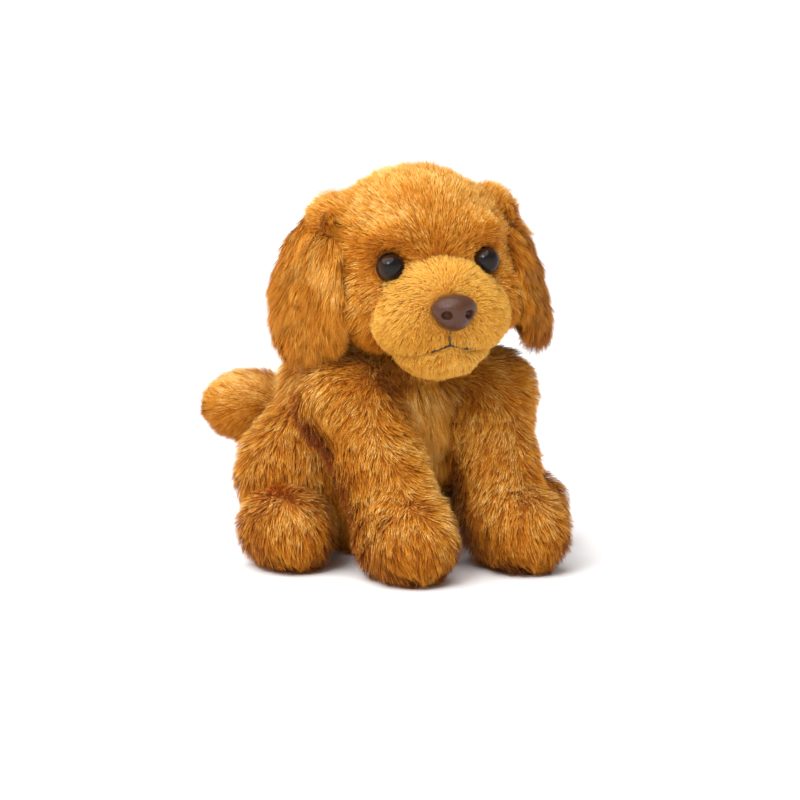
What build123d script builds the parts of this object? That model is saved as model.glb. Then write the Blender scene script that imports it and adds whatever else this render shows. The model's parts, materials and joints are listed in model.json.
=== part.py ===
from build123d import *
import os

# A sitting plush puppy, 22 cm tall: fur fabric skins over fibre stuffing, with safety eyes and nose.
# Millimetres. +Z is up, -Y is the way the chest faces, +X is the dog's left.
# The origin is on the floor, in the middle of the flat panel that the dog sits on.
# Each form can be inset: at 0 it is the outer pile surface, at SKIN the stuffing inside the fabric.

# ---- driving dimensions ----
SKIN = 4.0                        # fur fabric, backing and pile together
GAP = 0.4                         # running gap between bodies that move against each other
SOLE = 2.0                        # thickness of the seat panel

# head
HEAD_CENTRE = (0, -18, 164)
HEAD_RADIUS = 53
HEAD_TURN = -12                   # degrees: the head looks a little to the dog's right
HEAD_TILT = -3                    # degrees: its left ear is carried a little higher
MUZZLE_CENTRE = (0, -35, -24)     # from the head's centre, in the head's own directions
MUZZLE_RADIUS = 33
HEAD_CLEARANCE = 4.0              # room for turning and nodding over the shoulders
CHIN_CLEARANCE = 9.0

# neck plug, centred where the head turns and nods
NECK_CENTRE = (0, -18, 152)
NECK_BALL_RADIUS = 28
NECK_RADIUS = 12
NECK_BOTTOM = 104
NECK_HOLE_RADIUS = 22

# eyes and nose, in the head's own directions
EYE_RADIUS = 7.75
EYE_CENTRE = (26, -42, 1)
NOSE_CENTRE = (0, -66, -21)
NOSE_RADIUS = 9.5
NOSE_WIDEN = 3                    # the nose is as wide as two balls this far off the middle
NOSTRIL_CENTRE = (6.5, -1, 9)     # from the nose's centre: sideways, up, out
NOSTRIL_RADIUS = 2.6
STEM_RADIUS = 2.2
STEM_LENGTH = 14
WASHER_RADIUS = 6.0
WASHER_THICKNESS = 1.5
WASHER_DEPTH = 11                 # behind the centre of the eye or nose
THREAD_WIDTH = 1.6
THREAD_PROUD = 0.7                # how far the mouth thread stands above and sinks below the muzzle

# ears, given for the left one from the head's centre
EAR_CENTRE = (58, 4, -7)
EAR_RADII = (28, 40)              # half width, half length
EAR_THICKNESS = 12
EAR_EDGE = 5                      # rounding of the rim
EAR_CLEARANCE = 1.0               # between a hanging ear and the side of the head
EAR_SPLAY = 13                    # degrees that the lower end stands off the head
EAR_FLARE = 20                    # degrees that the rear edge stands off the head
EAR_ROOT = (48.5, 3, 27)          # middle of the sewn edge, on the ear's hinge line
EAR_ROOT_RADIUS = 6
EAR_ROOT_LENGTH = 30

# torso
SEAT_CENTRE = (0, 22, 44)
SEAT_RADIUS = 52
BACK_CENTRE = (0, 24, 84)
BACK_RADIUS = 56
SEAT_PANEL_RADIUS = 30
BIB_THICKNESS = 3.0
BIB_CENTRE_Z = 82
BIB_RADII = (26, 18)
PELLET_BAG_CENTRE = (0, 22, 24)
PELLET_BAG_RADIUS = 24.5
PELLET_BAG_HEIGHT = 26
PELLET_BAG_EDGE = 10

# front legs, given for the left one
FRONT_BAY_X = 29                  # half width of the torso between the shoulders
FRONT_BAY_Y = 10
FRONT_BAY_TOP = 120
CHEST_FRONT_Y = -38               # in front of this the legs may come nearer together
SHOULDER = (45, -20, 90)
SHOULDER_RADIUS = 28
ARM_TOP = (37, -30, 76)
ARM_FOOT = (32, -60, 30)
ARM_RADIUS = 25
PAW_BACK = (34, -63, 22)
PAW_FRONT = (34, -77, 22)
PAW_RADIUS = 25
PAW_INNER_X = 6                   # half the space between the two front paws

# hind legs, given for the left one
HIND_BAY_X = 34                   # half width of the torso between the haunches
HIND_BAY_TOP = 88
HIP = (46, 30, 46)
HAUNCH_RADIUS = 38
HOCK = (66, 8, 26)
HOCK_RADIUS = 19
FOOT_BACK = (74, -1, 22)
FOOT_FRONT = (74, -15, 22)
FOOT_RADIUS = 24

# tail, carried round to the dog's right
TAIL_ROOT = (-20, 72, 70)
TAIL_ROOT_RADIUS = 17
TAIL_CENTRE = (-50, 88, 77)
TAIL_RADIUS = 20
TAIL_HALF_LENGTH = 27
TAIL_SWING = 62                   # degrees from straight back

ROW_STEP = 0.75                   # spacing of the balls in a roll, of their radius
LARGE = 300                       # longer than the whole dog, for cutting
SIDES = {"left": 1, "right": -1}
HEAD = Location(HEAD_CENTRE, (0, HEAD_TILT, HEAD_TURN))

os.makedirs("parts", exist_ok=True)


def save(builder, name):
    """Label a finished piece and write it as its own node."""
    builder.part.label = name
    export_step(builder.part, f"parts/{name}.step")


def on_side(point, side):
    """A point given for the left side, on the side asked for."""
    return (side * point[0], point[1], point[2])


def egg(radius, half_length, inset=0.0):
    """A loose egg, round about Z."""
    with BuildPart(mode=Mode.PRIVATE) as body:
        with BuildSketch(Plane.XZ):
            with BuildLine():
                side = EllipticalCenterArc((0, 0), radius - inset, half_length - inset,
                                           start_angle=-90, arc_size=180)
                Line(side @ 0, side @ 1)
            make_face()
        revolve(axis=Axis.Z)
    return body.part


def row(start, end, radius, inset=0.0):
    """A soft roll: equal balls from one centre to another, near enough together to read as one."""
    first, last = Vector(*start), Vector(*end)
    steps = max(1, round((last - first).length / (ROW_STEP * radius)))
    places = [Location(first + (last - first) * (step / steps)) for step in range(steps + 1)]
    with BuildPart(mode=Mode.PRIVATE) as body:
        with Locations(*places):
            Sphere(radius - inset)
    return body.part


def ball(point, radius):
    return Location(point) * Solid.make_sphere(radius)


def outward(side):
    """Which half a split keeps, to leave what lies away from the dog's middle."""
    return Keep.TOP if side > 0 else Keep.BOTTOM


# ---- forms shared by a skin and its stuffing ----
def head_ball(inset):
    return ball(HEAD_CENTRE, HEAD_RADIUS - inset)


def muzzle_ball(inset):
    return HEAD * ball(MUZZLE_CENTRE, MUZZLE_RADIUS - inset)


def side_bay(side, half_width, rear_y, top_z):
    """The space beside the torso that a leg fills, open to the front."""
    with BuildPart() as bay:
        with BuildSketch(Plane.YZ.offset(side * half_width)):
            with Locations((rear_y, top_z)):
                Rectangle(LARGE, LARGE, align=Align.MAX)
        extrude(amount=side * LARGE)
    return bay.part


def torso_form(inset):
    """Seat and back in one, hollowed for the legs, the head and the tail."""
    hollows = [ball(HEAD_CENTRE, HEAD_RADIUS + HEAD_CLEARANCE + inset), muzzle_ball(-CHIN_CLEARANCE - inset),
               ball(TAIL_ROOT, TAIL_ROOT_RADIUS + GAP + inset)]
    for side in SIDES.values():
        hollows.append(side_bay(side, FRONT_BAY_X - inset, FRONT_BAY_Y + inset, FRONT_BAY_TOP))
        hollows.append(side_bay(side, HIND_BAY_X - inset, LARGE, HIND_BAY_TOP + inset))
    with BuildPart() as form:
        with Locations(SEAT_CENTRE):
            Sphere(SEAT_RADIUS - inset)
        with Locations(BACK_CENTRE):
            Sphere(BACK_RADIUS - inset)
        split(bisect_by=Plane.XY.offset(SOLE + inset), keep=Keep.TOP)
        for hollow in hollows:
            add(hollow, mode=Mode.SUBTRACT)
    return form.part


def front_leg_form(side, inset):
    """Shoulder, arm and paw, cut flat beside the chest, towards the other leg and at the floor."""
    arm = row(on_side(ARM_TOP, side), on_side(ARM_FOOT, side), ARM_RADIUS, inset)
    paw = row(on_side(PAW_BACK, side), on_side(PAW_FRONT, side), PAW_RADIUS, inset)
    with BuildPart() as form:
        with Locations(on_side(SHOULDER, side)):
            Sphere(SHOULDER_RADIUS - inset)
        add(arm)
        add(paw)
        with Locations((0, CHEST_FRONT_Y - inset, 0)):
            Box(2 * (FRONT_BAY_X + GAP + inset), LARGE, 2 * LARGE, mode=Mode.SUBTRACT,
                align=(Align.CENTER, Align.MIN, Align.CENTER))
        split(bisect_by=Plane.YZ.offset(side * (PAW_INNER_X + inset)), keep=outward(side))
        split(bisect_by=Plane.XY.offset(inset), keep=Keep.TOP)
    return form.part


def hind_leg_form(side, inset):
    """Haunch with a flat inner face, and the foot that lies forward on the floor."""
    foot = row(on_side(FOOT_BACK, side), on_side(FOOT_FRONT, side), FOOT_RADIUS, inset)
    with BuildPart() as form:
        with Locations(on_side(HIP, side)):
            Sphere(HAUNCH_RADIUS - inset)
        with Locations(on_side(HOCK, side)):
            Sphere(HOCK_RADIUS - inset)
        split(bisect_by=Plane.YZ.offset(side * (HIND_BAY_X + GAP + inset)), keep=outward(side))
        add(foot)
        split(bisect_by=Plane.XY.offset(inset), keep=Keep.TOP)
    return form.part


def tail_form(inset):
    """A fluffy stub on a round root."""
    swung = Location(TAIL_CENTRE, (0, 0, TAIL_SWING))
    stub = swung * Location((0, 0, 0), (90, 0, 0)) * egg(TAIL_RADIUS, TAIL_HALF_LENGTH, inset)
    with BuildPart() as form:
        with Locations(TAIL_ROOT):
            Sphere(TAIL_ROOT_RADIUS - inset)
        add(stub)
    return form.part


# ---- fittings set into the head ----
def eye_place(side):
    """An eye's centre, with Z pointing out of the head."""
    return HEAD * Location(on_side(EYE_CENTRE, side), (90, 0, 0))


nose_place = HEAD * Location(NOSE_CENTRE, (90, 0, 0))
places = {f"eye_{name}": eye_place(side) for name, side in SIDES.items()}
places["nose"] = nose_place
fittings = {}

for name, side in SIDES.items():
    with BuildPart(Plane(eye_place(side))) as eye:
        Sphere(EYE_RADIUS)
        Cylinder(STEM_RADIUS, STEM_LENGTH, align=(Align.CENTER, Align.CENTER, Align.MAX))
    save(eye, f"eye_{name}")
    fittings[f"eye_{name}"] = eye.part

nose_tip = row((-NOSE_WIDEN, 0, 0), (NOSE_WIDEN, 0, 0), NOSE_RADIUS)
with BuildPart(Plane(nose_place)) as nose:
    Cylinder(STEM_RADIUS, STEM_LENGTH, align=(Align.CENTER, Align.CENTER, Align.MAX))
    add(nose_tip)
    with Locations(*[on_side(NOSTRIL_CENTRE, side) for side in SIDES.values()]):
        Sphere(NOSTRIL_RADIUS, mode=Mode.SUBTRACT)
save(nose, "nose")
fittings["nose"] = nose.part

washers = {}
for name, place in places.items():
    with BuildPart(Plane(place).offset(-WASHER_DEPTH)) as washer:
        Cylinder(WASHER_RADIUS, WASHER_THICKNESS)
        Hole(STEM_RADIUS)
    save(washer, f"{name}_washer")
    washers[name] = washer.part

# ---- mouth: one thread from the nose down, then out to both corners, laid on the muzzle ----
PHILTRUM_TOP, PHILTRUM_FOOT = (0, -30), (0, -39)
MOUTH_MIDDLE, MOUTH_CORNER = (9, -42), (20, -38)
MOUTH_BACK_Y = -44                # the thread lies in front of this depth
muzzle_above, muzzle_below = muzzle_ball(-THREAD_PROUD), muzzle_ball(THREAD_PROUD)
with BuildPart() as mouth:
    with BuildSketch(Plane(HEAD * Location((0, MOUTH_BACK_Y, 0), (90, 0, 0)))):
        with BuildLine():
            Line(PHILTRUM_TOP, PHILTRUM_FOOT)
            for side in SIDES.values():
                ThreePointArc(PHILTRUM_FOOT, (side * MOUTH_MIDDLE[0], MOUTH_MIDDLE[1]),
                              (side * MOUTH_CORNER[0], MOUTH_CORNER[1]))
        trace(line_width=THREAD_WIDTH)
    extrude(amount=LARGE / 2)
    add(muzzle_above, mode=Mode.INTERSECT)
    add(muzzle_below, mode=Mode.SUBTRACT)
    for fitting in fittings.values():
        add(fitting, mode=Mode.SUBTRACT)
save(mouth, "mouth_stitching")

# ---- ears: an outer panel and a lining, meeting on the ear's own middle plane ----
ear_grooves = []
head_space = ball(HEAD_CENTRE, HEAD_RADIUS + EAR_CLEARANCE)
for name, side in SIDES.items():
    leaf_place = HEAD * Location(on_side(EAR_CENTRE, side), (0, -side * EAR_SPLAY, -side * EAR_FLARE))
    root_place = HEAD * Location(on_side(EAR_ROOT, side), (90, 0, 0))
    with BuildPart(Plane(root_place)) as root:
        Cylinder(EAR_ROOT_RADIUS, EAR_ROOT_LENGTH)
    with BuildPart(Plane(root_place)) as groove:
        Cylinder(EAR_ROOT_RADIUS + GAP, EAR_ROOT_LENGTH + 2 * GAP)
    middle = Plane(leaf_place * Location((0, 0, 0), (0, side * 90, 0)))
    with BuildPart() as ear:
        with BuildSketch(middle):
            Ellipse(EAR_RADII[1], EAR_RADII[0])
        extrude(amount=EAR_THICKNESS / 2, both=True)
        fillet(ear.edges(), EAR_EDGE)
        add(head_space, mode=Mode.SUBTRACT)
        add(root.part)
    for panel, half in (("outer", Keep.TOP), ("lining", Keep.BOTTOM)):
        with BuildPart() as ear_panel:
            add(ear.part)
            split(bisect_by=middle, keep=half)
        save(ear_panel, f"ear_{name}_{panel}")
    ear_grooves.append(groove.part)

# ---- neck ----
with BuildPart(Plane(NECK_CENTRE)) as neck:
    Sphere(NECK_BALL_RADIUS)
    Cylinder(NECK_RADIUS, NECK_CENTRE[2] - NECK_BOTTOM, align=(Align.CENTER, Align.CENTER, Align.MAX))
save(neck, "neck_stuffing")

with BuildPart(Plane(NECK_CENTRE)) as neck_room_in_head:
    Sphere(NECK_BALL_RADIUS + GAP)
    Cylinder(NECK_HOLE_RADIUS, LARGE, align=(Align.CENTER, Align.CENTER, Align.MAX))

with BuildPart(Plane(NECK_CENTRE)) as neck_room_in_torso:
    Cylinder(NECK_RADIUS + GAP, NECK_CENTRE[2] - NECK_BOTTOM + GAP,
             align=(Align.CENTER, Align.CENTER, Align.MAX))

# ---- head ----
muzzle_inside, muzzle_outside = muzzle_ball(SKIN), muzzle_ball(0)
with BuildPart() as head_inside:
    add(head_ball(SKIN))
    add(muzzle_inside)

with BuildPart() as head_skin:
    add(head_ball(0))
    add(head_inside.part, mode=Mode.SUBTRACT)
    add(muzzle_outside, mode=Mode.SUBTRACT)
    add(neck_room_in_head.part, mode=Mode.SUBTRACT)
    for fitting in fittings.values():
        add(fitting, mode=Mode.SUBTRACT)
    for groove in ear_grooves:
        add(groove, mode=Mode.SUBTRACT)
save(head_skin, "head_skin")

with BuildPart() as muzzle_skin:
    add(muzzle_outside)
    with Locations(HEAD_CENTRE):
        Sphere(HEAD_RADIUS - SKIN, mode=Mode.SUBTRACT)
    add(muzzle_inside, mode=Mode.SUBTRACT)
    add(neck_room_in_head.part, mode=Mode.SUBTRACT)
    add(mouth.part, mode=Mode.SUBTRACT)
    for fitting in fittings.values():
        add(fitting, mode=Mode.SUBTRACT)
save(muzzle_skin, "muzzle_skin")

with BuildPart() as head_stuffing:
    add(head_inside.part)
    add(neck_room_in_head.part, mode=Mode.SUBTRACT)
    for name in places:
        add(fittings[name], mode=Mode.SUBTRACT)
        add(washers[name], mode=Mode.SUBTRACT)
    for groove in ear_grooves:
        add(groove, mode=Mode.SUBTRACT)
save(head_stuffing, "head_stuffing")

# ---- torso ----
torso_inside = torso_form(SKIN)
torso_outside = torso_form(0)

with BuildPart() as torso_skin:
    add(torso_outside)
    add(torso_inside, mode=Mode.SUBTRACT)
    add(neck_room_in_torso.part, mode=Mode.SUBTRACT)
save(torso_skin, "torso_skin")

with BuildPart(Plane(PELLET_BAG_CENTRE)) as pellet_bag:
    Cylinder(PELLET_BAG_RADIUS, PELLET_BAG_HEIGHT)
    fillet(pellet_bag.edges().filter_by(GeomType.CIRCLE), PELLET_BAG_EDGE)
save(pellet_bag, "pellet_bag")

with BuildPart() as torso_stuffing:
    add(torso_inside)
    add(pellet_bag.part, mode=Mode.SUBTRACT)
    add(neck_room_in_torso.part, mode=Mode.SUBTRACT)
save(torso_stuffing, "torso_stuffing")

with BuildPart() as seat_panel:
    with BuildSketch():
        with Locations((SEAT_CENTRE[0], SEAT_CENTRE[1])):
            Circle(SEAT_PANEL_RADIUS)
    extrude(amount=SOLE)
save(seat_panel, "seat_panel")

with BuildPart() as chest_bib:
    with BuildSketch(Plane.XZ):
        with Locations((0, BIB_CENTRE_Z)):
            Ellipse(*BIB_RADII)
    extrude(amount=LARGE / 2)
    with Locations(BACK_CENTRE):
        Sphere(BACK_RADIUS + BIB_THICKNESS, mode=Mode.INTERSECT)
        Sphere(BACK_RADIUS, mode=Mode.SUBTRACT)
    with Locations(SEAT_CENTRE):
        Sphere(SEAT_RADIUS, mode=Mode.SUBTRACT)
save(chest_bib, "chest_bib")

# ---- legs and tail: each a skin around its own stuffing ----
for name, side in SIDES.items():
    for limb, form in (("front_leg", front_leg_form), ("hind_leg", hind_leg_form)):
        inside, outside = form(side, SKIN), form(side, 0)
        with BuildPart() as stuffing:
            add(inside)
        with BuildPart() as skin:
            add(outside)
            add(stuffing.part, mode=Mode.SUBTRACT)
        save(stuffing, f"{limb}_{name}_stuffing")
        save(skin, f"{limb}_{name}_skin")

tail_inside, tail_outside = tail_form(SKIN), tail_form(0)
with BuildPart() as tail_stuffing:
    add(tail_inside)
save(tail_stuffing, "tail_stuffing")

with BuildPart() as tail_skin:
    add(tail_outside)
    add(tail_stuffing.part, mode=Mode.SUBTRACT)
save(tail_skin, "tail_skin")
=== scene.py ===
import json
import math

import bpy
import numpy as np
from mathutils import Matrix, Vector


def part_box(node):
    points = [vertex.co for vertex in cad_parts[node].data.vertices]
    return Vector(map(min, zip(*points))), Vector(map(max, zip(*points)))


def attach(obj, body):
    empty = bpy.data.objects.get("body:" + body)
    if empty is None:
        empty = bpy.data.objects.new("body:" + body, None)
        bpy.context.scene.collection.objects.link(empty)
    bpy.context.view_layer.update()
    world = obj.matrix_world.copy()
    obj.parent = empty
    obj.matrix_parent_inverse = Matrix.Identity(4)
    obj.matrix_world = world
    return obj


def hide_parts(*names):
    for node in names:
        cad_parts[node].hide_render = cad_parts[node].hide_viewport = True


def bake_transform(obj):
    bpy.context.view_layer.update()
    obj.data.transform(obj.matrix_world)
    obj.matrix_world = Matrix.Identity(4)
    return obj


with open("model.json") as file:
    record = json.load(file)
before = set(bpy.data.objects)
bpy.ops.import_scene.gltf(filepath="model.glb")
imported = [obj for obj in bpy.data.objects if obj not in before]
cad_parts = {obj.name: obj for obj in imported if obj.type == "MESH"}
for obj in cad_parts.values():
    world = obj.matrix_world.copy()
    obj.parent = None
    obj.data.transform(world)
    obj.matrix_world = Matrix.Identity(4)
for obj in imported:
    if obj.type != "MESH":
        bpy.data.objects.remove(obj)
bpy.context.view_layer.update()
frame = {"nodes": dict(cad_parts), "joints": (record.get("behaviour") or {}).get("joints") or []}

import openvdb
from mathutils import Matrix, Vector, kdtree

MM = 0.001
SIDES = {"left": 1, "right": -1}
JOINTS = {joint["name"]: joint for joint in frame["joints"]}


# ---- places, read from the frame ----
def box_centre(node):
    low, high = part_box(node)
    return (np.array(low) + np.array(high)) / 2


def pivot(joint):
    return np.array(JOINTS[joint]["pos_m"])


def off(point, x, y, z, side=1):
    """A point some millimetres away; x is counted outward on the side given."""
    return point + np.array([side * x, y, z]) * MM


HEAD_RADIUS = 53                  # the head's ball, in millimetres, fur included
PILE = 4.5                        # how deep the covers lie under the outer surface of the fur
EYE_RADIUS = 7.75
EYE_STEM = 11                     # from the washer to the middle of the eye
washers = {name: box_centre(f"eye_{name}_washer") for name in SIDES}
NECK = pivot("head_turn")
between_eyes = washers["left"] - washers["right"]
HEAD_X = between_eyes / np.linalg.norm(between_eyes)
HEAD_Y = np.cross((0, 0, 1), HEAD_X)
HEAD_Y /= np.linalg.norm(HEAD_Y)
HEAD_Z = np.cross(HEAD_X, HEAD_Y)
HEAD_AXES = np.stack([HEAD_X, HEAD_Y, HEAD_Z])          # rows: the head's own directions
HEAD_CENTRE = np.array([NECK[0], NECK[1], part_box("head_skin")[1][2] - HEAD_RADIUS * MM])
WORLD_AXES = np.eye(3)
SEAT = box_centre("seat_panel")
SHOULDER = {name: pivot(f"front_leg_{name}_swing") for name in SIDES}
HIP = {name: pivot(f"hind_leg_{name}_lift") for name in SIDES}
TAIL_ROOT = pivot("tail_wag")
EAR_ROOT = {name: pivot(f"ear_{name}_flap") for name in SIDES}


def in_head(x, y, z):
    """A point given in millimetres from the head's centre, in its own directions."""
    return HEAD_CENTRE + np.array([x, y, z]) * MM @ HEAD_AXES


def spun(axes, x=0, y=0, z=0):
    """Axes turned by degrees about their own X, then Y, then Z."""
    turn = Matrix.Rotation(math.radians(z), 3, "Z") @ Matrix.Rotation(math.radians(y), 3, "Y")
    turn = turn @ Matrix.Rotation(math.radians(x), 3, "X")
    return np.array(turn.transposed()) @ axes


# ---- soft forms, as distance fields ----
def egg(centre, size, axes=WORLD_AXES):
    """Distance to an ellipsoid; centre in metres, size in millimetres."""
    radii = np.array(size) * MM

    def distance(points):
        local = (points - centre) @ axes.T
        near = np.linalg.norm(local / radii, axis=-1)
        slope = np.linalg.norm(local / radii**2, axis=-1)
        return near * (near - 1) / np.maximum(slope, 1e-9)
    distance.reach = (np.array(centre) - max(radii), np.array(centre) + max(radii))
    return distance


def rod(start, end, start_radius, end_radius):
    """Distance to a round bar that may taper; points in metres, radii in millimetres."""
    start, end = np.array(start), np.array(end)
    wide = max(start_radius, end_radius) * MM

    def distance(points):
        along = end - start
        t = np.clip(((points - start) @ along) / (along @ along), 0, 1)
        middle = start + t[..., None] * along
        radius = (start_radius + (end_radius - start_radius) * t) * MM
        return np.linalg.norm(points - middle, axis=-1) - radius
    distance.reach = (np.minimum(start, end) - wide, np.maximum(start, end) + wide)
    return distance


def slab(point, normal):
    """Distance to everything behind a plane."""
    point, normal = np.array(point), np.array(normal) / np.linalg.norm(normal)

    def distance(points):
        return (points - point) @ normal
    return distance


def soft_min(a, b, softness):
    mix = np.clip(0.5 + 0.5 * (b - a) / softness, 0, 1)
    return b + (a - b) * mix - softness * mix * (1 - mix)


def form(adds, cuts=(), keeps=(), softness=8, cut_softness=3):
    """Adds run into each other, cuts are hollows, keeps are half spaces; softness in millimetres."""
    def distance(points):
        total = adds[0](points)
        for add in adds[1:]:
            total = soft_min(total, add(points), softness * MM)
        for cut in cuts:
            total = -soft_min(-total, cut(points), cut_softness * MM)
        for keep in keeps:
            total = -soft_min(-total, -keep(points), cut_softness * MM)
        return total
    distance.reach = (np.min([a.reach[0] for a in adds], axis=0), np.max([a.reach[1] for a in adds], axis=0))
    return distance


def grown(field, amount):
    """The same form, larger by some millimetres."""
    def distance(points):
        return field(points) - amount * MM
    distance.reach = (field.reach[0] - amount * MM, field.reach[1] + amount * MM)
    return distance


def skin_of(name, field, voxel=2.0):
    """A mesh on a form's surface."""
    step = voxel * MM
    low = field.reach[0] - 4 * step
    counts = np.ceil((field.reach[1] - field.reach[0]) / step).astype(int) + 9
    axes = [low[i] + np.arange(counts[i]) * step for i in range(3)]
    points = np.stack(np.meshgrid(*axes, indexing="ij"), axis=-1)
    values = np.clip(field(points), -4 * step, 4 * step)
    grid = openvdb.FloatGrid()
    grid.copyFromArray(values.astype(np.float32))
    verts, tris, quads = grid.convertToPolygons(isovalue=0.0, adaptivity=0.0)
    mesh = bpy.data.meshes.new(name)
    faces = [tuple(int(i) for i in face) for face in quads] + [tuple(int(i) for i in face) for face in tris]
    mesh.from_pydata((verts * step + low).tolist(), [], faces)
    mesh.update()
    piece = bpy.data.objects.new(name, mesh)
    bpy.context.collection.objects.link(piece)
    mesh.shade_smooth()
    face_outward(mesh)
    return piece


def face_outward(mesh):
    """Turns a closed mesh right side out."""
    verts, tris = triangles(mesh)
    a, b, c = verts[tris[:, 0]], verts[tris[:, 1]], verts[tris[:, 2]]
    if np.einsum("ij,ij->i", a, np.cross(b, c)).sum() < 0:
        mesh.flip_normals()


def triangles(mesh):
    mesh.calc_loop_triangles()
    verts = np.empty(len(mesh.vertices) * 3, np.float32)
    mesh.vertices.foreach_get("co", verts)
    tris = np.empty(len(mesh.loop_triangles) * 3, np.int32)
    mesh.loop_triangles.foreach_get("vertices", tris)
    return verts.reshape(-1, 3).astype(float), tris.reshape(-1, 3)


# ---- fur ----
RINGS = np.array([0.0, 0.38, 0.74, 1.0])       # places along a hair: root, lower bend, upper bend, tip
TAPER = np.array([1.0, 0.95, 0.7, 0.0])
SEGMENTS = 3
PRESSED = 0.6 * MM                # the floor flattens hairs that would reach below this
PAINTED_LIGHT_ABOVE = 0.50                # share of the tint range that pile facing straight up gains, painted light on the tops
PAINTED_SHADE_AROUND = 0.12              # share of the tint range that all pile gives up for it, so that pile facing sideways or down is darker: painted shade

# How hairs differ: the scales of smooth changes are in millimetres, angles in degrees.
SWIRL_BROAD, SWIRL_FINE, FINE_SHARE, SWIRL_STRAY = 26, 9, 0.6, 9
LEAN_SCALE, LEAN_WAVE, LEAN_STRAY, LEAN_LIMITS = 14, 9, 7, (8, 82)
LENGTH_SCALE, LENGTH_WAVE, LENGTH_RANGE = 12, 0.12, (0.72, 1.08)
GATHER_RANGE, GATHER_CURVE, GATHER_MOST = (0.5, 1.2), 1.4, 0.92
TWIST, WIDTH_RANGE, ROUNDED = 0.45, (0.75, 1.2), 0.35
TINT_BROAD, TINT_TUFT = 30, 7
TINT_BROAD_SHARE, TINT_TUFT_SHARE, TINT_STRAY, TINT_SPREAD = 0.55, 0.5, 0.45, 0.42
ALMOST_NONE = 1e-9                # keeps every weight above zero


def unit(vectors):
    return vectors / np.maximum(np.linalg.norm(vectors, axis=-1, keepdims=True), 1e-9)


def waves(points, scale, rng, count=5):
    """A smooth random field, about -1 to 1, that varies over a scale in millimetres."""
    total = np.zeros(len(points))
    for _ in range(count):
        direction = unit(rng.normal(size=3))
        total += np.sin(points @ direction * (2 * math.pi / (scale * MM)) * rng.uniform(0.7, 1.4)
                        + rng.uniform(0, 2 * math.pi))
    return total / math.sqrt(count) * 0.8


def across(vectors, others):
    """The dot product of each pair of rows."""
    return np.einsum("ij,ij->i", vectors, others)[:, None]


def scatter_roots(skin, count, where, rng):
    """Random places on a skin, with its smooth normal at each."""
    verts, tris = triangles(skin.data)
    corner = verts[tris]
    cross = np.cross(corner[:, 1] - corner[:, 0], corner[:, 2] - corner[:, 0])
    weight = np.linalg.norm(cross, axis=1)
    if where is not None:
        weight *= where(corner.mean(axis=1), unit(cross))
    chosen = rng.choice(len(tris), size=count, p=weight / weight.sum())
    u, v = rng.random(count), rng.random(count)
    flip = u + v > 1
    u[flip], v[flip] = 1 - u[flip], 1 - v[flip]
    bary = np.stack([1 - u - v, u, v], axis=1)
    root = np.einsum("ij,ijk->ik", bary, corner[chosen])
    normals = np.empty(len(skin.data.vertices) * 3, np.float32)
    skin.data.vertices.foreach_get("normal", normals)
    normals = normals.reshape(-1, 3).astype(float)
    return root, unit(np.einsum("ij,ijk->ik", bary, normals[tris[chosen]]))


def comb_hairs(root, normal, length, flow, lean, bend, droop, wander, short, rng):
    """Each hair's path: it leans along the flow, swirls a little and droops."""
    count = len(root)
    comb = flow(root, normal)
    comb = unit(comb - across(comb, normal) * normal)
    side = np.cross(normal, comb)
    swing = np.radians(wander * waves(root, SWIRL_BROAD, rng)
                       + FINE_SHARE * wander * waves(root, SWIRL_FINE, rng)
                       + rng.normal(size=count) * SWIRL_STRAY)
    comb = comb * np.cos(swing)[:, None] + side * np.sin(swing)[:, None]
    angle = np.radians(np.clip(lean + LEAN_WAVE * waves(root, LEAN_SCALE, rng)
                               + rng.normal(size=count) * LEAN_STRAY, *LEAN_LIMITS))
    start = normal * np.cos(angle)[:, None] + comb * np.sin(angle)[:, None]
    hair = length * MM * rng.uniform(*LENGTH_RANGE, size=count)
    hair = hair * (1 + LENGTH_WAVE * waves(root, LENGTH_SCALE, rng))
    if short is not None:
        hair *= short(root)
    pull = comb * bend + np.array([0, 0, -droop])
    t = RINGS[None, :, None]
    reach = start[:, None, :] * t + pull[:, None, :] * t * t * 0.5
    return root[:, None, :] + hair[:, None, None] * reach


def gather_tufts(path, root, clump, strands_per_clump, rng):
    """Bends each hair towards the leader of its tuft, and says which one that is."""
    count = len(root)
    leaders = rng.choice(count, size=max(count // strands_per_clump, 1), replace=False)
    tree = kdtree.KDTree(len(leaders))
    for index, leader in enumerate(leaders):
        tree.insert(root[leader], index)
    tree.balance()
    follow = leaders[np.array([tree.find(point)[1] for point in root])]
    pull = clump * rng.uniform(*GATHER_RANGE, size=count)[:, None, None]
    pull = pull * RINGS[None, :, None] ** GATHER_CURVE
    return path + (path[follow] - path) * np.clip(pull, 0, GATHER_MOST), follow


def flatten_to_ribbons(path, normal, width, rng):
    """The corners of each hair's ribbon, and the way that its pile faces."""
    count = len(path)
    along = unit(path[:, -1] - path[:, 0])
    flat = unit(np.cross(along, normal) + rng.normal(size=(count, 3)) * TWIST)
    flat = unit(flat - across(flat, along) * along)
    half = width * MM / 2 * rng.uniform(*WIDTH_RANGE, size=count)
    offset = flat[:, None, :] * (half[:, None] * TAPER[None, :])[..., None]
    rings = np.stack([path - offset, path + offset], axis=2)[:, :SEGMENTS].reshape(count, SEGMENTS * 2, 3)
    points = np.concatenate([rings, path[:, -1:]], axis=1).reshape(-1, 3)
    points[:, 2] = np.maximum(points[:, 2], PRESSED * rng.random(len(points)))
    face = np.cross(flat, along)
    return points, unit(normal + ROUNDED * unit(face) * np.sign(across(face, normal)))


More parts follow.
